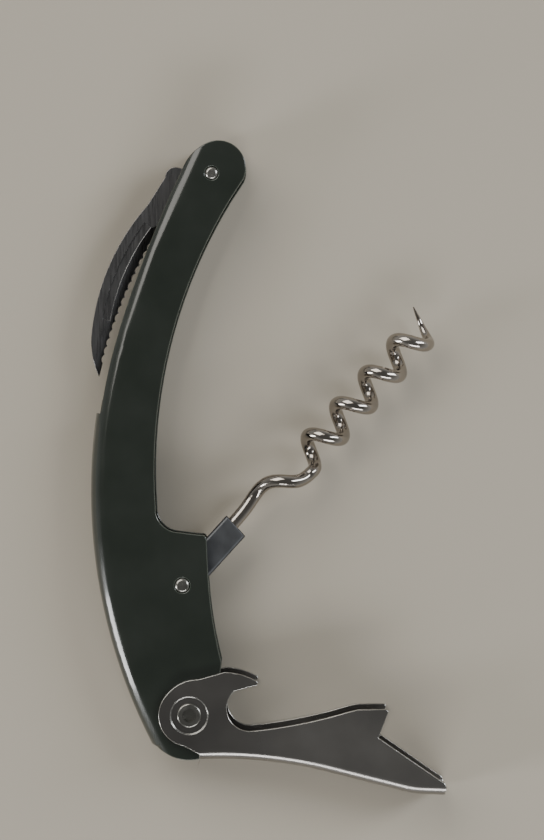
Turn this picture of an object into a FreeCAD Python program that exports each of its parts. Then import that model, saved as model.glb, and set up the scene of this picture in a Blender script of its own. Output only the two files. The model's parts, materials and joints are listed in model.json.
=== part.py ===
import FreeCAD
import Part
import Sketcher
import math
import os

# A waiter's corkscrew lying on its side. A folded sheet-steel handle holds a small serrated
# knife at one end, a spiral worm in its middle and a stamped boot lever at the other end.
# X runs across the handle, Y along it towards the knife pin, and Z up through its thickness.
# The origin is on the surface that the corkscrew lies on, under the middle of its outline.
# Every piece is drawn in its own frame: its pivot is the origin and the handle's middle
# plane is z = 0.

Vector = FreeCAD.Vector

SIZES = {
    # Where the pivots are, and how far the worm and the lever stand open.
    "worm_pivot_x": -15.23,
    "worm_pivot_y": -20.94,
    "knife_pivot_x": -10.03,
    "knife_pivot_y": 52.26,
    "lever_pivot_x": -13.98,
    "lever_pivot_y": -43.94,
    "worm_rest_angle": 47.7,
    "lever_rest_angle": -15.9,
    # Handle: one strip of sheet folded into a channel.
    "handle_width": 10.0,
    "handle_sheet": 1.0,
    "handle_bend": 3.0,
    # Pins and the lever's rivet.
    "worm_pin_radius": 1.35,
    "knife_pin_radius": 1.2,
    "pin_proud": 0.25,
    "pin_dome": 0.6,
    "rivet_radius": 1.6,
    "rivet_head_radius": 2.15,
    "rivet_head_height": 0.38,
    "rivet_dome": 0.3,
    "rivet_bore_radius": 1.2,
    "rivet_bore_depth": 2.2,
    "pin_fit": 0.02,
    "running_fit": 0.05,
    "side_play": 0.06,
    "tube_wall": 0.9,
    "knife_washer_radius": 3.2,
    "worm_washer_radius": 2.3,
    # Knife.
    "blade_thickness": 1.5,
    "bevel_reach": 1.9,
    "bevel_depth": 0.55,
    "scallop_radius": 0.95,
    "scallop_bite": 0.42,
    "scallop_pitch": 1.55,
    "scallop_count": 15,
    "scallop_start": 3.4,
    "nail_groove_depth": 0.35,
    "nail_groove_width": 1.4,
    "nail_groove_inset": 2.3,
    "nail_groove_heel_gap": 2.8,
    "nail_groove_tip_gap": 3.5,
    # Worm and the sheet ferrule that carries it.
    "wire_radius": 1.2,
    "coil_radius": 2.45,
    "coil_pitch": 7.6,
    "coil_axis_offset": 1.1,
    "coil_start": 30.95,
    "coil_turns": 4,
    "coil_stations": 14,
    "section_spacing": 1.0,
    "point_length": 9.5,
    "point_radius": 0.12,
    "carrier_sheet": 0.6,
    "carrier_width": 5.0,
    # Lever: one stamping with a web along its back and a side plate each side of the handle.
    "lever_gap": 11.0,
    "lever_sheet": 0.9,
    "lever_bend": 1.6,
    "dish_radius": 3.3,
    "dish_depth": 0.45,
    "web_start_x": 4.0,
    "web_start_y": -2.5,
}

# An outline is a list of corners: name, x, y and the radius of the run to the next corner.
# 0 is a straight run, a positive radius turns left and a negative one turns right. Outlines
# run counter-clockwise, so the material is on their left.
OUTLINES = {
    # The handle's folded back, from beyond the knife end to beyond the lever end.
    "back": [
        ("head", 8.7682, 92.0, 208.4),
        ("joint", -12.0, 45.7, 98.3),
        ("foot", 1.6127, -40.0, 0),
    ],
    # What closes the back's line, round the folded bar and round its hollow.
    "bar_front": [("foot", 34.0, -17.0, 0), ("head", 34.0, 74.0, 0)],
    "hollow_front": [
        ("foot_inside", 3.0, -45.0, 0),
        ("foot_outside", 36.0, -45.0, 0),
        ("head_outside", 36.0, 97.0, 0),
        ("head_inside", 12.0, 97.0, 0),
    ],
    # The side plates' trimmed edge. Its left side runs clear of the folded back.
    "side": [
        ("end_corner", -4.44, -28.69, 8.05),
        ("stop_corner", 3.04, -30.85, 0),
        ("stop_root", 3.32, -29.1, 6.45),
        ("lever_side", 6.3, -19.0, 0),
        ("flare", 6.95, -13.6, -80.0),
        ("waist", 4.5, 4.0, 0),
        ("shoulder", 4.3, 8.1, 0.9),
        ("shoulder_top", 3.2, 8.95, 0),
        ("throat", -1.2, 9.45, -4.2),
        ("throat_end", -4.75, 14.0, -92.45),
        ("head_front", 8.6, 68.7, 0),
        ("head_corner", 10.9, 72.2, 4.9),
        ("head_top", 4.9, 78.8, 8.0),
        ("head_back", 0.0, 74.0, 0),
        ("outside_head", -5.0, 70.8, 0),
        ("outside_step", -24.0, 40.0, 0),
        ("outside_foot", -24.0, -16.0, 0),
        ("outside_end", -8.6, -26.9, 0),
    ],
    # The knife slot through the folded back, from the step up to the open end.
    "slot": [
        ("step_outside", -22.0, 31.55, 0),
        ("step_inside", -9.0, 29.7, 0),
        ("head_inside", 22.0, 97.0, 0),
        ("head_outside", -22.0, 97.0, 0),
    ],
    # The knife, hooked towards its cutting edge.
    "blade": [
        ("tip", -20.2, -36.15, -95.0),
        ("choil", -8.8, -8.8, 0),
        ("tang_front", -6.9, -8.2, 0),
        ("tang_foot", -2.9, -2.75, 4.0),
        ("tang_right", 4.0, 0.0, 4.0),
        ("tang_top", -1.4, 3.75, 0),
        ("heel_top", -4.7, 0.95, 0),
        ("heel_peak", -6.0, 1.3, 1.9),
        ("heel_corner", -8.4, -0.5, 0),
        ("back_start", -11.5, -5.4, 40.6),
        ("back_belly", -21.6, -29.1, 15.4),
    ],
    # The ferrule round the worm's shank, seen from the front.
    "carrier": [
        ("tail_top", 0.0, 2.5, 2.5),
        ("tail_end", -2.5, 0.0, 2.5),
        ("tail_foot", 0.0, -2.5, 0),
        ("lip_foot", 13.8, -2.5, 0),
        ("lip_top", 14.3, 2.5, 0),
    ],
    # The lever's web, from beyond its heel to beyond its nose.
    "web": [
        ("heel", -8.0, -12.1, -80.0),
        ("belly", 27.0, -2.95, 0),
        ("chin", 40.0, -2.591, 18.0),
        ("nose", 43.73, -2.094, 0),
        ("end", 50.0, -0.579, 0),
    ],
    # What closes the web's line, round the lever's bar and round its hollow.
    "lever_front": [("nose", 50.0, 18.0, 0), ("heel", -8.0, 18.0, 0)],
    "lever_hollow_front": [
        ("nose_inside", 52.0, 1.0, 0),
        ("nose_outside", 52.0, 20.0, 0),
        ("heel_outside", -10.0, 20.0, 0),
        ("heel_inside", -10.0, -12.0, 0),
    ],
    # The lever's side plates: ear, cap-lifter hook and notch, and the foot for the bottle rim.
    "plate": [
        ("ear_foot", 0.66, -5.42, 0),
        ("web_root", 3.55, -6.1, 0),
        ("web_start", 4.4, -8.4, 0),
        ("outside_start", 8.0, -9.0, 0),
        ("outside_nose", 49.0, -6.0, 0),
        ("nose_tip", 47.4, -0.6, 1.3),
        ("nose_top", 46.2, 1.07, 0),
        ("rim_front", 36.3, 4.4, 0),
        ("rim_corner", 33.35, 5.4, 0),
        ("foot_front", 33.8, 10.2, 0.6),
        ("foot_top", 33.2, 10.62, 0),
        ("foot_back", 28.6, 9.27, 0),
        ("rise", 27.0, 8.4, -90.0),
        ("lip", 11.3, 0.36, -4.1),
        ("notch_top", 6.5, 6.4, 0),
        ("hook_tip", 10.1, 8.5, 0.5),
        ("hook_top", 9.6, 9.2, 12.0),
        ("hook_back", 3.9, 9.12, 0),
        ("ear_shoulder", -0.2, 6.6, 7.0),
        ("ear_back", -4.82, 2.54, 5.45),
        ("ear_under", -4.4, -3.2, 5.45),
    ],
}

# The worm's wire off its coil: how far along, the angle round the coil's axis and the radius.
SHANK = [(3.0, 180, 1.74), (6.0, 180, 1.74), (9.0, 180, 1.74), (12.0, 180, 1.74), (14.6, 180, 1.76),
         (18.0, 179, 1.95), (21.2, 172, 2.4), (23.5, 146, 2.55), (25.5, 102, 2.55), (27.3, 52, 2.5),
         (29.2, 18, 2.45)]
POINT = [(62.0, -42, 2.45), (62.7, -84, 2.5), (63.35, -115, 2.8), (63.92, -140, 3.3), (64.5, -160, 4.2)]

# How far the trimming cuts reach beyond the material.
CLEAR = 20.0

# The degree of the worm's surface along the wire.
LOFT_DEGREE = 3


def add_sheet(doc):
    """Fill a spreadsheet with every driving size and outline corner, each under its name."""
    values = dict(SIZES)
    for outline, corners in OUTLINES.items():
        for name, x, y, radius in corners:
            values[f"{outline}_{name}_x"] = x
            values[f"{outline}_{name}_y"] = y
            if radius:
                values[f"{outline}_{name}_radius"] = abs(radius)
    sheet = doc.addObject("Spreadsheet::Sheet", "dims")
    for row, (alias, value) in enumerate(values.items(), start=1):
        sheet.set(f"A{row}", alias)
        sheet.set(f"B{row}", str(value))
        sheet.setAlias(f"B{row}", alias)
    doc.recompute()
    return sheet


def place(piece, pivot, angle=None):
    """Set a piece on its pivot, at its rest angle, with its middle plane at the handle's."""
    half = "dims.lever_gap / 2 + dims.lever_sheet"
    piece.setExpression("Placement.Base.x", f"dims.{pivot}_pivot_x")
    piece.setExpression("Placement.Base.y", f"dims.{pivot}_pivot_y")
    piece.setExpression("Placement.Base.z", half)
    if angle:
        piece.Placement.Rotation = FreeCAD.Rotation(Vector(0, 0, 1), 0)
        piece.setExpression("Placement.Rotation.Angle", f"dims.{angle}")


def new_body(doc, label, pivot, angle=None):
    body = doc.addObject("PartDesign::Body", label)
    body.Label = label
    place(body, pivot, angle)
    return body


def flat_sketch(body, name):
    """A sketch on the body's own XY plane."""
    planes = [f for f in body.Origin.OriginFeatures if f.Role == "XY_Plane"]
    sketch = body.newObject("Sketcher::SketchObject", name)
    sketch.AttachmentSupport = (planes[0], [""])
    sketch.MapMode = "FlatFace"
    return sketch


def arc_centre(start, end, radius):
    """The centre of a run that turns less than half a circle; a left turn has it on the left."""
    chord = end - start
    left = Vector(-chord.y, chord.x, 0).normalize()
    rise = math.sqrt(max(radius ** 2 - (chord.Length / 2) ** 2, 0))
    return (start + end) * 0.5 + left * math.copysign(rise, radius)


def run_geometry(start, end, radius):
    if not radius:
        return Part.LineSegment(start, end)
    centre = arc_centre(start, end, radius)
    first, last = (start, end) if radius > 0 else (end, start)
    begin = math.atan2(first.y - centre.y, first.x - centre.x)
    finish = math.atan2(last.y - centre.y, last.x - centre.x)
    circle = Part.Circle(centre, Vector(0, 0, 1), abs(radius))
    return Part.ArcOfCircle(circle, begin, finish if finish > begin else finish + 2 * math.pi)


def draw_ring(sketch, corners, bound_to=None):
    """Draw a closed ring of runs and fix each corner, to the cells of its outline if it has one."""
    points = [Vector(x, y, 0) for name, x, y, radius in corners]
    count = len(corners)
    first = sketch.GeometryCount
    for i, (name, x, y, radius) in enumerate(corners):
        sketch.addGeometry(run_geometry(points[i], points[(i + 1) % count], radius), False)
    for i, (name, x, y, radius) in enumerate(corners):
        begins, ends = (1, 2) if radius >= 0 else (2, 1)
        following = (i + 1) % count
        next_begins = 1 if corners[following][3] >= 0 else 2
        run = first + i
        sketch.addConstraint(Sketcher.Constraint("Coincident", run, ends, first + following, next_begins))
        fixed = [("DistanceX", "x", x), ("DistanceY", "y", y)]
        for kind, axis, value in fixed:
            index = sketch.addConstraint(Sketcher.Constraint(kind, run, begins, value))
            if bound_to:
                sketch.setExpression(f"Constraints[{index}]", f"dims.{bound_to}_{name}_{axis}")
        if radius:
            index = sketch.addConstraint(Sketcher.Constraint("Radius", run, abs(radius)))
            if bound_to:
                sketch.setExpression(f"Constraints[{index}]", f"dims.{bound_to}_{name}_radius")


def draw_circle(sketch, radius, centre=(0, 0), fit=None):
    """Draw a circle with a radius from the sheet, plus the clearance of a fit if it has one."""
    size = SIZES[radius] + (SIZES[fit] if fit else 0)
    index = sketch.addGeometry(Part.Circle(Vector(*centre, 0), Vector(0, 0, 1), size), False)
    sketch.addConstraint(Sketcher.Constraint("DistanceX", index, 3, centre[0]))
    sketch.addConstraint(Sketcher.Constraint("DistanceY", index, 3, centre[1]))
    bound = sketch.addConstraint(Sketcher.Constraint("Radius", index, size))
    sketch.setExpression(f"Constraints[{bound}]", f"dims.{radius}" + (f" + dims.{fit}" if fit else ""))


def rectangle(left, bottom, right, top):
    return [("", left, bottom, 0), ("", right, bottom, 0), ("", right, top, 0), ("", left, top, 0)]


def clear_of(corners):
    """The left, bottom, right and top of a rectangle that lies well clear of some corners."""
    across = [x for name, x, y, radius in corners]
    along = [y for name, x, y, radius in corners]
    return min(across) - CLEAR, min(along) - CLEAR, max(across) + CLEAR, max(along) + CLEAR


def inset(corners, distance):
    """Move a smooth open line of runs to its left, so that round runs stay concentric."""
    moved = []
    for i, (name, x, y, radius) in enumerate(corners):
        here = Vector(x, y, 0)
        at_end = i == len(corners) - 1
        other = Vector(*corners[i - 1 if at_end else i + 1][1:3], 0)
        turn = corners[i - 1][3] if at_end else radius
        start, end = (other, here) if at_end else (here, other)
        if turn:
            centre = arc_centre(start, end, turn)
            left = (centre - here).normalize() * math.copysign(1, turn)
        else:
            chord = end - start
            left = Vector(-chord.y, chord.x, 0).normalize()
        point = here + left * distance
        moved.append((name, point.x, point.y, radius - distance if radius else 0))
    return moved


def extrude(body, kind, sketch, length, symmetric=True, reverse=False):
    """Pad or Pocket a sketch by an expression of the sheet; a pocket must take material away."""
    before = body.Tip.Shape.Volume if body.Tip else 0
    feature = body.newObject(f"PartDesign::{kind}", f"{sketch.Name}_{kind.lower()}")
    feature.Profile = sketch
    feature.SideType = "Symmetric" if symmetric else "One side"
    feature.Reversed = reverse
    feature.setExpression("Length", length)
    body.Document.recompute()
    if kind == "Pocket" and not feature.Shape.Volume < before - 1e-6:
        raise RuntimeError(f"{sketch.Name} cuts nothing")
    return feature


def round_edges(body, name, radius, wanted):
    """Fillet every edge of the body's tip that the given test accepts."""
    base = body.Tip
    edges = [f"Edge{i}" for i, edge in enumerate(base.Shape.Edges, start=1) if wanted(edge)]
    if not edges:
        raise RuntimeError(f"{name} found no edge")
    fillet = body.newObject("PartDesign::Fillet", name)
    fillet.Base = (base, edges)
    fillet.setExpression("Radius", radius)
    body.Document.recompute()
    return fillet


def middle(edge):
    return edge.valueAt((edge.FirstParameter + edge.LastParameter) / 2)


def lies_flat(edge, height):
    """Is the edge in one plane, this far above or below the middle plane?"""
    box = edge.BoundBox
    return box.ZLength < 1e-4 and abs(abs(box.ZMin) - height) < 1e-4


def make_handle(doc):
    """The folded channel: closed along its back up to the step, open as a slot above it."""
    body = new_body(doc, "handle_channel", "worm")
    back = OUTLINES["back"]
    bar = flat_sketch(body, "folded_bar")
    draw_ring(bar, back + OUTLINES["bar_front"])
    extrude(body, "Pad", bar, "dims.handle_width")
    half = SIZES["handle_width"] / 2
    round_edges(body, "outer_fold", "dims.handle_bend",
                lambda edge: lies_flat(edge, half) and isinstance(edge.Curve, Part.Circle))

    hollow = flat_sketch(body, "hollow")
    draw_ring(hollow, inset(back, SIZES["handle_sheet"]) + OUTLINES["hollow_front"])
    extrude(body, "Pocket", hollow, "dims.handle_width - 2 * dims.handle_sheet")
    half -= SIZES["handle_sheet"]
    round_edges(body, "inner_fold", "dims.handle_bend - dims.handle_sheet",
                lambda edge: lies_flat(edge, half) and isinstance(edge.Curve, Part.Circle))

    slot = flat_sketch(body, "knife_slot")
    draw_ring(slot, OUTLINES["slot"], "slot")
    extrude(body, "Pocket", slot, "dims.handle_width - 2 * dims.handle_sheet")

    side = flat_sketch(body, "side_trim")
    draw_ring(side, rectangle(*clear_of(back + OUTLINES["bar_front"])))
    draw_ring(side, OUTLINES["side"], "side")
    extrude(body, "Pocket", side, "2 * dims.handle_width")

    holes = flat_sketch(body, "pin_holes")
    for pin in ("worm", "knife", "lever"):
        radius = "rivet_radius" if pin == "lever" else f"{pin}_pin_radius"
        offset = [SIZES[f"{pin}_pivot_{axis}"] - SIZES[f"worm_pivot_{axis}"] for axis in "xy"]
        draw_circle(holes, radius, offset, "pin_fit")
    extrude(body, "Pocket", holes, "2 * dims.handle_width")
    return body


def make_blade(doc):
    """The knife: a flat blank with a tang disc, ground on both sides and scalloped."""
    body = new_body(doc, "knife_blade", "knife")
    blank = flat_sketch(body, "blade_blank")
    draw_ring(blank, OUTLINES["blade"], "blade")
    extrude(body, "Pad", blank, "dims.blade_thickness")
    half = SIZES["blade_thickness"] / 2
    corner = {name: (x, y, radius) for name, x, y, radius in OUTLINES["blade"]}
    edge_radius = abs(corner["tip"][2])

    def is_cutting_edge(edge):
        round_run = isinstance(edge.Curve, Part.Circle) and abs(edge.Curve.Radius - edge_radius) < 0.01
        return round_run and lies_flat(edge, half)

    base = body.Tip
    edges = [f"Edge{i}" for i, edge in enumerate(base.Shape.Edges, start=1) if is_cutting_edge(edge)]
    bevel = body.newObject("PartDesign::Chamfer", "cutting_bevel")
    bevel.Base = (base, edges)
    bevel.ChamferType = "Two distances"
    bevel.setExpression("Size", "dims.bevel_depth")
    bevel.setExpression("Size2", "dims.bevel_reach")
    doc.recompute()

    # The scallops are round notches spaced evenly along the cutting edge.
    tip = Vector(*corner["tip"][:2], 0)
    choil = Vector(*corner["choil"][:2], 0)
    centre = arc_centre(tip, choil, corner["tip"][2])
    circle = edge_radius - SIZES["scallop_radius"] + SIZES["scallop_bite"]
    begin = math.atan2(tip.y - centre.y, tip.x - centre.x)
    serration = flat_sketch(body, "serration")
    for i in range(SIZES["scallop_count"]):
        turn = begin - (SIZES["scallop_start"] + i * SIZES["scallop_pitch"]) / edge_radius
        spot = (centre.x + circle * math.cos(turn), centre.y + circle * math.sin(turn))
        draw_circle(serration, "scallop_radius", spot)
    extrude(body, "Pocket", serration, "2 * dims.blade_thickness")

    # The nail groove follows the back of the blade on its front face.
    start = Vector(*corner["back_start"][:2], 0)
    belly = Vector(*corner["back_belly"][:2], 0)
    back_radius = corner["back_start"][2]
    centre = arc_centre(start, belly, back_radius)
    outer = back_radius - SIZES["nail_groove_inset"] + SIZES["nail_groove_width"] / 2
    inner = outer - SIZES["nail_groove_width"]
    begin = math.atan2(start.y - centre.y, start.x - centre.x) + SIZES["nail_groove_heel_gap"] / back_radius
    finish = math.atan2(belly.y - centre.y, belly.x - centre.x) - SIZES["nail_groove_tip_gap"] / back_radius
    ring = []
    ends = [(outer, begin, outer), (outer, finish, 0), (inner, finish, -inner), (inner, begin, 0)]
    for radius, turn, run in ends:
        ring.append(("", centre.x + radius * math.cos(turn), centre.y + radius * math.sin(turn), run))
    groove = flat_sketch(body, "nail_groove")
    groove.AttachmentOffset = FreeCAD.Placement(Vector(0, 0, half), FreeCAD.Rotation())
    draw_ring(groove, ring)
    extrude(body, "Pocket", groove, "dims.nail_groove_depth", symmetric=False)

    pin_hole = flat_sketch(body, "tang_hole")
    draw_circle(pin_hole, "knife_pin_radius", fit="running_fit")
    extrude(body, "Pocket", pin_hole, "2 * dims.blade_thickness")
    return body


def make_carrier(doc):
    """The ferrule: sheet folded round the worm's shank, with its back along the shank's left."""
    body = new_body(doc, "worm_carrier", "worm", "worm_rest_angle")
    blank = flat_sketch(body, "carrier_blank")
    draw_ring(blank, OUTLINES["carrier"], "carrier")
    extrude(body, "Pad", blank, "2 * dims.wire_radius + 2 * dims.running_fit + 2 * dims.carrier_sheet")
    half = SIZES["wire_radius"] + SIZES["running_fit"] + SIZES["carrier_sheet"]
    top = SIZES["carrier_width"] / 2
    round_edges(body, "carrier_fold", "dims.carrier_sheet",
                lambda edge: lies_flat(edge, half) and abs(middle(edge).y - top) < 0.01)
    hollow = flat_sketch(body, "carrier_hollow")
    left, bottom, right, beyond = clear_of(OUTLINES["carrier"])
    draw_ring(hollow, rectangle(left, bottom, right, top - SIZES["carrier_sheet"]))
    extrude(body, "Pocket", hollow, "2 * dims.wire_radius + 2 * dims.running_fit")
    pin_hole = flat_sketch(body, "carrier_hole")
    draw_circle(pin_hole, "worm_pin_radius", fit="running_fit")
    extrude(body, "Pocket", pin_hole, "4 * dims.wire_radius")
    return body


def make_lever(doc):
    """The boot lever: a web along its back and two side plates that straddle the handle."""
    body = new_body(doc, "boot_lever", "lever", "lever_rest_angle")
    web = OUTLINES["web"]
    bar = flat_sketch(body, "lever_bar")
    draw_ring(bar, web + OUTLINES["lever_front"])
    extrude(body, "Pad", bar, "dims.lever_gap + 2 * dims.lever_sheet")
    outer = SIZES["lever_gap"] / 2 + SIZES["lever_sheet"]

    def along_web(edge):
        return middle(edge).y < 0 and edge.BoundBox.XLength > 1

    round_edges(body, "outer_bend", "dims.lever_bend",
                lambda edge: lies_flat(edge, outer) and along_web(edge))
    hollow = flat_sketch(body, "lever_hollow")
    draw_ring(hollow, inset(web, SIZES["lever_sheet"]) + OUTLINES["lever_hollow_front"])
    extrude(body, "Pocket", hollow, "dims.lever_gap")
    inner = SIZES["lever_gap"] / 2
    round_edges(body, "inner_bend", "dims.lever_bend - dims.lever_sheet",
                lambda edge: lies_flat(edge, inner) and along_web(edge))

    side = flat_sketch(body, "plate_trim")
    left, bottom, right, top = clear_of(web + OUTLINES["lever_front"])
    draw_ring(side, rectangle(left, bottom, right, top))
    draw_ring(side, OUTLINES["plate"], "plate")
    extrude(body, "Pocket", side, "4 * dims.lever_gap")

    # The web starts clear of the ears, so that the lever turns round the handle's end.
    gap = flat_sketch(body, "ear_gap")
    draw_ring(gap, rectangle(left, bottom, SIZES["web_start_x"], SIZES["web_start_y"]))
    extrude(body, "Pocket", gap, "dims.lever_gap")

    # A round dish pressed into each ear takes the rivet's head and bears on the handle.
    for side_name, sign in (("front", 1), ("back", -1)):
        boss = flat_sketch(body, f"{side_name}_boss")
        boss.AttachmentOffset = FreeCAD.Placement(Vector(0, 0, sign * inner), FreeCAD.Rotation())
        draw_circle(boss, "dish_radius")
        extrude(body, "Pad", boss, "dims.dish_depth", symmetric=False, reverse=sign > 0)
        dish = flat_sketch(body, f"{side_name}_dish")
        dish.AttachmentOffset = FreeCAD.Placement(Vector(0, 0, sign * outer), FreeCAD.Rotation())
        draw_circle(dish, "dish_radius")
        extrude(body, "Pocket", dish, "dims.dish_depth", symmetric=False, reverse=sign < 0)
    hole = flat_sketch(body, "rivet_hole")
    draw_circle(hole, "rivet_radius", fit="running_fit")
    extrude(body, "Pocket", hole, "2 * dims.lever_gap")
    return body


def wire_centres():
    """Places on the wire's centre line, from the carrier to the point."""
    stations = list(SHANK)
    per_turn = SIZES["coil_stations"]
    for i in range(SIZES["coil_turns"] * per_turn + 1):
        along = SIZES["coil_start"] + i * SIZES["coil_pitch"] / per_turn
        stations.append((along, -360 * i / per_turn, SIZES["coil_radius"]))
    turned = 360 * SIZES["coil_turns"]
    stations += [(along, angle - turned, radius) for along, angle, radius in POINT]
    centres = []
    for along, angle, radius in stations:
        across = radius * math.cos(math.radians(angle)) + SIZES["coil_axis_offset"]
        centres.append(Vector(along, -across, radius * math.sin(math.radians(angle))))
    return centres


def make_worm(doc):
    """The worm: one steel wire, straight in its ferrule, then a right-handed coil and a point."""
    line = Part.BSplineCurve()
    line.interpolate(wire_centres())
    total = line.length()
    side = Vector(0, 0, 1)
    rings = []
    for centre in line.discretize(Number=round(total / SIZES["section_spacing"])):
        parameter = line.parameter(centre)
        left = total - line.length(line.FirstParameter, parameter)
        share = min(left / SIZES["point_length"], 1)
        size = SIZES["point_radius"] + (SIZES["wire_radius"] - SIZES["point_radius"]) * share
        tangent = line.tangent(parameter)[0]
        side = (side - tangent * side.dot(tangent)).normalize()
        ring = Part.makeCircle(size)
        facing = FreeCAD.Rotation(side, tangent.cross(side), tangent, "ZXY")
        ring.Placement = FreeCAD.Placement(centre, facing)
        rings.append(Part.Wire(ring))
    worm = doc.addObject("Part::Feature", "worm")
    worm.Label = "worm"
    worm.Shape = Part.makeLoft(rings, True, False, False, LOFT_DEGREE)
    place(worm, "worm", "worm_rest_angle")
    return worm


def cylinder(doc, name, radius, height, bottom):
    piece = doc.addObject("Part::Cylinder", name)
    piece.setExpression("Radius", radius)
    piece.setExpression("Height", height)
    piece.setExpression("Placement.Base.z", bottom)
    return piece


def boolean(doc, kind, name, base, tool):
    piece = doc.addObject(f"Part::{kind}", name)
    piece.Base = base
    piece.Tool = tool
    return piece


def make_pin(doc, pivot, radius):
    """A plain pin across the handle with domed ends that stand a little proud of it."""
    length = "dims.handle_width + 2 * dims.pin_proud"
    shank = cylinder(doc, f"{pivot}_pin_shank", radius, length, f"-({length}) / 2")
    doc.recompute()
    reach = shank.Shape.BoundBox.ZMax
    rims = [i for i, edge in enumerate(shank.Shape.Edges, start=1) if lies_flat(edge, reach)]
    pin = doc.addObject("Part::Fillet", f"{pivot}_pin")
    pin.Base = shank
    pin.Edges = [(i, SIZES["pin_dome"], SIZES["pin_dome"]) for i in rims]
    pin.Label = f"{pivot}_pin"
    place(pin, pivot)
    return pin


def make_ring(doc, label, pivot, inner, outer, bottom, height):
    """A washer or tube about a pivot: inner and outer radius, bottom and height."""
    body = cylinder(doc, f"{label}_blank", outer, height, bottom)
    bore = cylinder(doc, f"{label}_bore", inner, height, bottom)
    ring = boolean(doc, "Cut", label, body, bore)
    ring.Label = label
    place(ring, pivot)
    return ring


def make_rivet(doc):
    """The lever's rivet: a shank through both ears with a head in each dish, bored at the front."""
    seat = "(dims.lever_gap / 2 + dims.lever_sheet - dims.dish_depth + dims.running_fit)"
    shank = cylinder(doc, "rivet_shank", "dims.rivet_radius", f"2 * {seat}", f"-{seat}")
    front = cylinder(doc, "rivet_front_head", "dims.rivet_head_radius", "dims.rivet_head_height", seat)
    back = cylinder(doc, "rivet_back_head", "dims.rivet_head_radius", "dims.rivet_head_height",
                    f"-{seat} - dims.rivet_head_height")
    solid = boolean(doc, "Fuse", "rivet_solid", boolean(doc, "Fuse", "rivet_half", shank, front), back)
    doc.recompute()
    reach = solid.Shape.BoundBox.ZMax
    rims = [i for i, edge in enumerate(solid.Shape.Edges, start=1) if lies_flat(edge, reach)]
    domed = doc.addObject("Part::Fillet", "rivet_domed")
    domed.Base = solid
    domed.Edges = [(i, SIZES["rivet_dome"], SIZES["rivet_dome"]) for i in rims]
    bore = cylinder(doc, "rivet_bore", "dims.rivet_bore_radius", "2 * dims.rivet_bore_depth",
                    f"{seat} + dims.rivet_head_height - dims.rivet_bore_depth")
    rivet = boolean(doc, "Cut", "lever_rivet", domed, bore)
    rivet.Label = "lever_rivet"
    place(rivet, "lever")
    return rivet


def make_spacers(doc):
    """Washers that centre the knife and the ferrule in the channel, and the rivet's tube."""
    wall = "(dims.handle_width / 2 - dims.handle_sheet)"
    ferrule = "(dims.wire_radius + dims.running_fit + dims.carrier_sheet)"
    cores = {"knife": "dims.blade_thickness / 2", "worm": ferrule}
    rings = []
    for pivot, core in cores.items():
        height = f"{wall} - {core} - 2 * dims.side_play"
        bore = f"dims.{pivot}_pin_radius + dims.pin_fit"
        rim = f"dims.{pivot}_washer_radius"
        near, far = f"{core} + dims.side_play", f"-{wall} + dims.side_play"
        rings.append(make_ring(doc, f"{pivot}_washer_front", pivot, bore, rim, near, height))
        rings.append(make_ring(doc, f"{pivot}_washer_back", pivot, bore, rim, far, height))
    inner = "dims.rivet_radius + dims.pin_fit"
    outer = f"{inner} + dims.tube_wall"
    length = f"(2 * {wall} - 2 * dims.pin_fit)"
    rings.append(make_ring(doc, "rivet_tube", "lever", inner, outer, f"-{length} / 2", length))
    return rings


def check_objects(doc, pieces):
    """Stop if any object failed or any piece isn't a whole, valid solid."""
    for item in doc.Objects:
        if "Invalid" in item.State or "Error" in item.State:
            raise RuntimeError(f"{item.Name} failed: {item.State}")
    for piece in pieces:
        shape = piece.Shape
        if shape.isNull() or not shape.isValid() or len(shape.Solids) != 1:
            raise RuntimeError(f"{piece.Label} is not one valid solid")


def main():
    doc = FreeCAD.newDocument("waiters_corkscrew")
    add_sheet(doc)
    pieces = [make_handle(doc), make_blade(doc), make_carrier(doc), make_lever(doc), make_worm(doc)]
    pieces += [make_pin(doc, "knife", "dims.knife_pin_radius"), make_pin(doc, "worm", "dims.worm_pin_radius")]
    pieces += [make_rivet(doc)] + make_spacers(doc)
    doc.recompute()
    check_objects(doc, pieces)
    os.makedirs("parts", exist_ok=True)
    for piece in pieces:
        piece.Shape.exportStep(f"parts/{piece.Label}.step")
        box = piece.Shape.BoundBox
        print(f"{piece.Label}: {piece.Shape.Volume:.1f} mm3, z {box.ZMin:.2f} to {box.ZMax:.2f}")
    whole = FreeCAD.BoundBox()
    for piece in pieces:
        whole.add(piece.Shape.BoundBox)
    print(f"x {whole.XMin:.2f} to {whole.XMax:.2f}, y {whole.YMin:.2f} to {whole.YMax:.2f}")


main()
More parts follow.
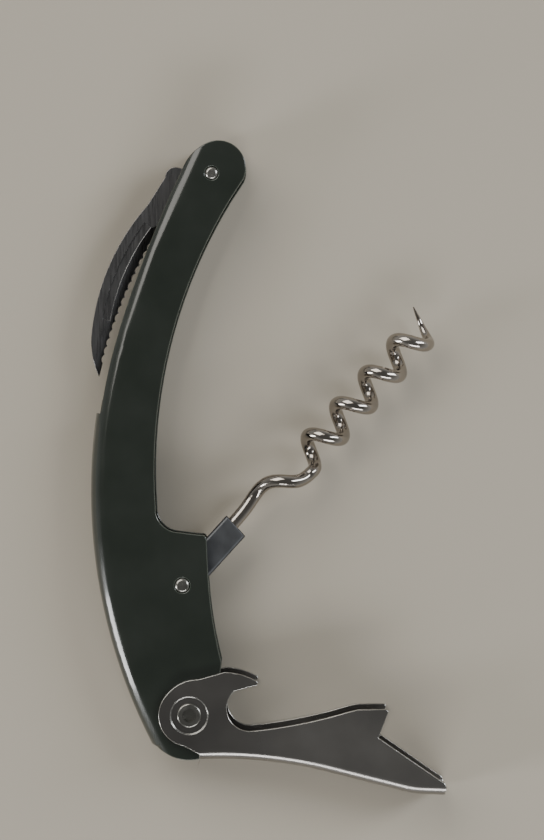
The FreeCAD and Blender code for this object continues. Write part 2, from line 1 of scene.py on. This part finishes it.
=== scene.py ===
import json
import math
import bmesh
import bpy
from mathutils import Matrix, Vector


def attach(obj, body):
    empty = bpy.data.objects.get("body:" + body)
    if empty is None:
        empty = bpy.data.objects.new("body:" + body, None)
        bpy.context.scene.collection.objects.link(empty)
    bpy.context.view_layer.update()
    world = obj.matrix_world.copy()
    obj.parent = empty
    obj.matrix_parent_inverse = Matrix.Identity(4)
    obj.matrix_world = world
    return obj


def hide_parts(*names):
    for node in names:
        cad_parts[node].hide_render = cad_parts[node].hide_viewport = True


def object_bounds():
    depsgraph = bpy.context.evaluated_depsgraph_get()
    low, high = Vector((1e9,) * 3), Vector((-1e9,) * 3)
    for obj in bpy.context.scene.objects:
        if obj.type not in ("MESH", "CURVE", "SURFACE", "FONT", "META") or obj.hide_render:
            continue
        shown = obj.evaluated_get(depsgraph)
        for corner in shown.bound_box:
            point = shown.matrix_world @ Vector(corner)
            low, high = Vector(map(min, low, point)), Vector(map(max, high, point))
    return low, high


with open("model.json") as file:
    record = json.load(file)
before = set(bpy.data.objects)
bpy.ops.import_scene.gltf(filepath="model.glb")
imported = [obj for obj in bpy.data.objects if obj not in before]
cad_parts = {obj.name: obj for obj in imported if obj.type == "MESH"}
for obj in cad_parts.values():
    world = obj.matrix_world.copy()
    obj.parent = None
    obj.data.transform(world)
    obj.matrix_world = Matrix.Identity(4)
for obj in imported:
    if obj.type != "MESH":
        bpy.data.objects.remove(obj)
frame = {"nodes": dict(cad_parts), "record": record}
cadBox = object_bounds()

mm = 0.001


def hexColour(text):
    # sRGB hex to the linear colour that the shader wants
    channels = [int(text[i:i + 2], 16) / 255 for i in (1, 3, 5)]
    linear = [c / 12.92 if c <= 0.04045 else ((c + 0.055) / 1.055) ** 2.4 for c in channels]
    return (*linear, 1.0)


def addNode(tree, kind, settings=None, links=None):
    # one node with its settings and the sockets that feed it
    node = tree.nodes.new(kind)
    for name, value in (settings or {}).items():
        if hasattr(node, name):
            setattr(node, name, value)
        else:
            node.inputs[name].default_value = value
    for name, source in (links or {}).items():
        tree.links.new(source, node.inputs[name])
    return node


def newMaterial(name):
    material = bpy.data.materials.new(name)
    material.use_nodes = True
    tree = material.node_tree
    tree.nodes.clear()
    shader = addNode(tree, "ShaderNodeBsdfPrincipled")
    addNode(tree, "ShaderNodeOutputMaterial", links={"Surface": shader.outputs["BSDF"]})
    return material, tree, shader


def setRamp(node, stops):
    # each stop is a position and a grey value
    ramp = node.color_ramp
    while len(ramp.elements) > 1:
        ramp.elements.remove(ramp.elements[-1])
    for i, (position, value) in enumerate(stops):
        element = ramp.elements[0] if i == 0 else ramp.elements.new(position)
        element.position = position
        element.color = (value, value, value, 1)


print("materials")

# Stoved gloss enamel on sheet steel: an even, very dark green skin that pools a little,
# so reflections waver slightly, with fine dust nibs in it.
enamelLook = {
    "colour": "#171C17",
    "worn": "#232823",
    "roughness": 0.2,
    "peelSize": 1.6,  # millimetres, like every size here
    "nibSize": 0.35,
    "hazeSize": 9.0,
    "nibStops": [(0.66, 0.0), (0.74, 1.0)],
    "peelDepth": 0.02,
    "nibDepth": 0.01,
    "coat": 0.6,
    "coatRoughness": 0.08,
}


def stovedEnamel(name, look):
    material, tree, shader = newMaterial(name)
    place = addNode(tree, "ShaderNodeTexCoord").outputs["Object"]
    peel = addNode(tree, "ShaderNodeTexNoise", {"Scale": 1 / (look["peelSize"] * mm), "Detail": 2.0},
                   {"Vector": place})
    nibs = addNode(tree, "ShaderNodeTexNoise", {"Scale": 1 / (look["nibSize"] * mm), "Detail": 3.0},
                   {"Vector": place})
    haze = addNode(tree, "ShaderNodeTexNoise", {"Scale": 1 / (look["hazeSize"] * mm), "Detail": 4.0},
                   {"Vector": place})
    nibRamp = addNode(tree, "ShaderNodeValToRGB", links={"Fac": nibs.outputs["Fac"]})
    setRamp(nibRamp, look["nibStops"])
    tone = addNode(tree, "ShaderNodeMix", {"data_type": "RGBA"}, {"Factor": haze.outputs["Fac"]})
    tone.inputs["A"].default_value = hexColour(look["colour"])
    tone.inputs["B"].default_value = hexColour(look["worn"])
    gloss = addNode(tree, "ShaderNodeMapRange", {
        "From Min": 0.3, "From Max": 0.7,
        "To Min": look["roughness"] - 0.04, "To Max": look["roughness"] + 0.06,
    }, {"Value": haze.outputs["Fac"]})
    soft = addNode(tree, "ShaderNodeBump", {"Strength": 0.25, "Distance": look["peelDepth"] * mm},
                   {"Height": peel.outputs["Fac"]})
    fine = addNode(tree, "ShaderNodeBump", {"Strength": 0.3, "Distance": look["nibDepth"] * mm},
                   {"Height": nibRamp.outputs["Color"], "Normal": soft.outputs["Normal"]})
    tree.links.new(tone.outputs["Result"], shader.inputs["Base Color"])
    tree.links.new(gloss.outputs["Result"], shader.inputs["Roughness"])
    tree.links.new(fine.outputs["Normal"], shader.inputs["Normal"])
    shader.inputs["Coat Weight"].default_value = look["coat"]
    shader.inputs["Coat Roughness"].default_value = look["coatRoughness"]
    return material


# Stamped mild steel, tumbled to a satin: an even grey with a fine tooth and faint handling marks.
leverLook = {"colour": "#A5A29E", "dark": "#747270", "roughness": 0.27, "tooth": 0.25, "blotch": 26.0}
# Where the press sheared the sheet the edges are drawn brighter: a painted highlight along them.
shearedEdgeHighlightLook = {"colour": "#C9C8C4", "dark": "#ADACA8", "roughness": 0.24, "tooth": 0.2, "blotch": 1.2}
# Nickel-plated wire, drawn and polished.
wireLook = {"colour": "#B3ADA6", "dark": "#918B84", "roughness": 0.12, "tooth": 0.5, "blotch": 6.0}
# Blackened sheet steel, rubbed grey where it was folded.
ferruleLook = {"colour": "#66686B", "dark": "#525457", "roughness": 0.44, "tooth": 0.3, "blotch": 3.0}
# Turned bright steel pins and the rivet.
pinLook = {"colour": "#A5A49F", "dark": "#83827D", "roughness": 0.24, "tooth": 0.3, "blotch": 1.5}
# Zinc-plated washers.
zincLook = {"colour": "#8A8C90", "dark": "#6D7074", "roughness": 0.38, "tooth": 0.3, "blotch": 2.0}


def tumbledMetal(name, look, bumpDepth=0.006):
    material, tree, shader = newMaterial(name)
    place = addNode(tree, "ShaderNodeTexCoord").outputs["Object"]
    tooth = addNode(tree, "ShaderNodeTexNoise", {"Scale": 1 / (look["tooth"] * mm), "Detail": 4.0},
                    {"Vector": place})
    blotch = addNode(tree, "ShaderNodeTexNoise", {"Scale": 1 / (look["blotch"] * mm), "Detail": 5.0},
                     {"Vector": place})
    tone = addNode(tree, "ShaderNodeMix", {"data_type": "RGBA"}, {"Factor": blotch.outputs["Fac"]})
    tone.inputs["A"].default_value = hexColour(look["dark"])
    tone.inputs["B"].default_value = hexColour(look["colour"])
    gloss = addNode(tree, "ShaderNodeMapRange", {
        "From Min": 0.3, "From Max": 0.7,
        "To Min": look["roughness"] - 0.04, "To Max": look["roughness"] + 0.05,
    }, {"Value": blotch.outputs["Fac"]})
    bump = addNode(tree, "ShaderNodeBump", {"Strength": 0.35, "Distance": bumpDepth * mm},
                   {"Height": tooth.outputs["Fac"]})
    tree.links.new(tone.outputs["Result"], shader.inputs["Base Color"])
    tree.links.new(gloss.outputs["Result"], shader.inputs["Roughness"])
    tree.links.new(bump.outputs["Normal"], shader.inputs["Normal"])
    shader.inputs["Metallic"].default_value = 1.0
    return material


# Stainless blade steel, ground across the blade and then dulled: fine lines side by side.
# Real grit lines are about 0.05 mm apart; they are drawn coarser so that they show.
bladeLook = {
    "colour": "#757576",
    "dark": "#6F6F70",
    "roughness": 0.3,
    "line": 0.3,
    "stretch": 18.0,
    "turn": 62.0,  # degrees, across the blade
    "lineDepth": 0.003,
}


def groundSteel(look):
    material, tree, shader = newMaterial("ground stainless steel")
    place = addNode(tree, "ShaderNodeTexCoord").outputs["Object"]
    along = addNode(tree, "ShaderNodeMapping", {
        "Rotation": (0, 0, math.radians(look["turn"])), "Scale": (1, 1 / look["stretch"], 1),
    }, {"Vector": place})
    lines = addNode(tree, "ShaderNodeTexNoise", {"Scale": 1 / (look["line"] * mm), "Detail": 3.0},
                    {"Vector": along.outputs["Vector"]})
    tone = addNode(tree, "ShaderNodeMix", {"data_type": "RGBA"}, {"Factor": lines.outputs["Fac"]})
    tone.inputs["A"].default_value = hexColour(look["dark"])
    tone.inputs["B"].default_value = hexColour(look["colour"])
    gloss = addNode(tree, "ShaderNodeMapRange", {
        "From Min": 0.3, "From Max": 0.7,
        "To Min": look["roughness"] - 0.06, "To Max": look["roughness"] + 0.06,
    }, {"Value": lines.outputs["Fac"]})
    bump = addNode(tree, "ShaderNodeBump", {"Strength": 0.25, "Distance": look["lineDepth"] * mm},
                   {"Height": lines.outputs["Fac"]})
    tree.links.new(tone.outputs["Result"], shader.inputs["Base Color"])
    tree.links.new(gloss.outputs["Result"], shader.inputs["Roughness"])
    tree.links.new(bump.outputs["Normal"], shader.inputs["Normal"])
    shader.inputs["Metallic"].default_value = 1.0
    return material


# Along an edge the enamel is drawn a little lighter and smoother: a painted highlight on the rounded edge.
enamelEdgeHighlightLook = {**enamelLook, "colour": "#343A33", "worn": "#424841", "roughness": 0.16}

looks = {
    "enamelled_steel": stovedEnamel("stoved gloss enamel", enamelLook),
    "lever_steel": tumbledMetal("tumbled stamped steel", leverLook),
    "blade_steel": groundSteel(bladeLook),
    "worm_steel": tumbledMetal("polished nickel plate", wireLook, 0.002),
    "ferrule_steel": tumbledMetal("blackened sheet steel", ferruleLook),
    "pin_steel": tumbledMetal("bright turned steel", pinLook, 0.002),
    "rivet_steel": tumbledMetal("bright rivet steel", pinLook, 0.002),
    "washer_steel": tumbledMetal("zinc plate", zincLook),
}
# the blade's and the groove's edges are drawn lighter: a painted highlight
bladeEdgeHighlightLook = {**shearedEdgeHighlightLook, "colour": "#929293", "dark": "#7E7E7F"}
# lighter materials for the bevelled edges: painted highlights along them
edgeHighlightLooks = {
    "enamelled_steel": stovedEnamel("enamel edge with a painted highlight", enamelEdgeHighlightLook),
    "lever_steel": tumbledMetal("sheared steel edge with a painted highlight", shearedEdgeHighlightLook, 0.004),
    "blade_steel": tumbledMetal("blade edge with a painted highlight", bladeEdgeHighlightLook, 0.002),
}
slotOf = {entry["node"]: entry["material_slot"] for entry in frame["record"]["subparts"]}
for node, piece in frame["nodes"].items():
    piece.data.materials.clear()
    piece.data.materials.append(looks[slotOf[node]])

print("broken edges on the sheet metal")

# How far each stamping's sharp edges are broken, in millimetres. A sharp edge turns by more
# than the angle. The knife's slot runs out slantwise in the handle's fold, at a spot that stays sharp.
edgeBreaks = {
    "handle": {"node": "handle_channel", "body": "handle", "width": 0.15, "angle": 60,
               "sharpSpots": [(-31.0, 9.8)]},
    "lever": {"node": "boot_lever", "body": "lever", "width": 0.12, "angle": 60, "sharpSpots": []},
    "ferrule": {"node": "worm_carrier", "body": "worm", "width": 0.14, "angle": 60, "sharpSpots": []},
    "blade": {"node": "knife_blade", "body": "knife", "width": 0.06, "angle": 40, "sharpSpots": []},
}
spotReach = 3.0
mergeDistance = 0.02
flatAngle = 0.6  # degrees within which the mesh's triangles count as one flat face
smoothAngle = 42  # degrees below which two faces shade as one


def onlySelect(piece):
    bpy.ops.object.select_all(action="DESELECT")
    piece.select_set(True)
    bpy.context.view_layer.objects.active = piece


def weighEdges(piece, look):
    # the sharp edges that the bevel is to take
    shape = bmesh.new()
    shape.from_mesh(piece.data)
    weight = shape.edges.layers.float.new("bevel_weight_edge")
    spots = [Vector(spot) * mm for spot in look["sharpSpots"]]
    for edge in shape.edges:
        midpoint = ((edge.verts[0].co + edge.verts[1].co) / 2).xy
        turns = edge.calc_face_angle(0) > math.radians(look["angle"])
        if turns and all((midpoint - spot).length > spotReach * mm for spot in spots):
            edge[weight] = 1.0
    shape.to_mesh(piece.data)
    shape.free()


def brokenEdges(name, look):
    # a merged copy of the CAD node, its flat faces whole again and its sharp edges rounded over
    source = frame["nodes"][look["node"]]
    slot = slotOf[look["node"]]
    piece = bpy.data.objects.new(name, source.data.copy())
    bpy.context.scene.collection.objects.link(piece)
    if slot in edgeHighlightLooks:
        piece.data.materials.append(edgeHighlightLooks[slot])
    onlySelect(piece)
    bpy.ops.object.mode_set(mode="EDIT")
    bpy.ops.mesh.select_all(action="SELECT")
    bpy.ops.mesh.remove_doubles(threshold=mergeDistance * mm)
    bpy.ops.mesh.dissolve_limited(angle_limit=math.radians(flatAngle))
    bpy.ops.object.mode_set(mode="OBJECT")
    weighEdges(piece, look)
    bevel = piece.modifiers.new("broken edge", "BEVEL")
    bevel.width = look["width"] * mm
    bevel.segments = 3
    bevel.limit_method = "WEIGHT"
    bevel.use_clamp_overlap = False
    # the bevel's faces take the lighter edge material, a painted highlight
    bevel.material = 1 if slot in edgeHighlightLooks else -1
    bpy.ops.object.modifier_apply(modifier=bevel.name)
    bpy.ops.object.shade_smooth_by_angle(angle=math.radians(smoothAngle))
    even = piece.modifiers.new("even normals", "WEIGHTED_NORMAL")
    even.keep_sharp = True
    bpy.ops.object.modifier_apply(modifier=even.name)
    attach(piece, look["body"])
    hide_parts(look["node"])


for name, look in edgeBreaks.items():
    brokenEdges(name, look)

print("floor, light and camera")
middle = (Vector(cadBox[0]) + Vector(cadBox[1])) / 2

bpy.ops.object.select_all(action="DESELECT")
floorLook = {"colour": "#A39C8F", "size": 2.4, "drop": 0.2, "roughness": 0.8}
bpy.ops.mesh.primitive_plane_add(size=floorLook["size"], location=(0, 0, -floorLook["drop"] * mm))
floor = bpy.context.object
floor.name = "floor"
floorMaterial, _, shader = newMaterial("plain paper floor")
shader.inputs["Base Color"].default_value = hexColour(floorLook["colour"])
shader.inputs["Roughness"].default_value = floorLook["roughness"]
floor.data.materials.append(floorMaterial)


# Places and sizes in metres, power in watts. The fold box lies low beside the lever's fold.
softboxLooks = {
    "key": {"place": (-0.45, 0.55, 0.75), "aim": (0, 0, 0), "size": (0.85, 0.65), "power": 6.5,
            "colour": "#FFFBF4"},
    "rim": {"place": (0.6, 0.25, 0.5), "aim": (0, 0, 0), "size": (0.2, 0.6), "power": 4.0,
            "colour": "#F6FAFF"},
    "front": {"place": (0.1, -0.7, 0.5), "aim": (0, 0, 0), "size": (0.7, 0.2), "power": 4.0},
    "fold": {"place": (-0.62, -0.24, 0.17), "aim": (0, -0.04, 0.006), "size": (0.14, 0.4), "power": 3.0},
}


def softbox(name, place, aim, size, power, colour="#FFFFFF"):
    light = bpy.data.lights.new(name, "AREA")
    light.shape = "RECTANGLE"
    light.size, light.size_y = size
    light.energy = power
    light.color = hexColour(colour)[:3]
    lamp = bpy.data.objects.new(name, light)
    bpy.context.scene.collection.objects.link(lamp)
    lamp.location = place
    lamp.rotation_euler = (Vector(aim) - Vector(place)).to_track_quat("-Z", "Y").to_euler()


for name, look in softboxLooks.items():
    softbox(name, **look)

studioLook = {"colour": "#CFCFCC", "walls": 0.85, "ceiling": 0.22, "wallHeight": 0.05, "ceilingHeight": 0.75}
world = bpy.data.worlds.new("studio")
bpy.context.scene.world = world
world.use_nodes = True
background = world.node_tree.nodes["Background"]
background.inputs["Color"].default_value = hexColour(studioLook["colour"])
# the room is brighter round its walls than overhead, which draws the metal's edges in light
upward = addNode(world.node_tree, "ShaderNodeTexCoord").outputs["Generated"]
height = addNode(world.node_tree, "ShaderNodeSeparateXYZ", links={"Vector": upward})
shade = addNode(world.node_tree, "ShaderNodeMapRange", {
    "From Min": studioLook["wallHeight"], "From Max": studioLook["ceilingHeight"],
    "To Min": studioLook["walls"], "To Max": studioLook["ceiling"],
}, {"Value": height.outputs["Z"]})
world.node_tree.links.new(shade.outputs["Result"], background.inputs["Strength"])

# viewHeight, lift and side in millimetres: how much the picture spans, and how far it is off centre
cameraLook = {"viewHeight": 150.4, "lens": 135.0, "lift": 8.42, "side": 0.7}
camera = bpy.data.objects.new("camera", bpy.data.cameras.new("camera"))
camera.data.lens = cameraLook["lens"]
distance = cameraLook["viewHeight"] * mm * cameraLook["lens"] / camera.data.sensor_width
camera.location = middle + Vector((cameraLook["side"] * mm, cameraLook["lift"] * mm, distance))
camera.data.clip_start = 0.01
bpy.context.scene.collection.objects.link(camera)
bpy.context.scene.camera = camera
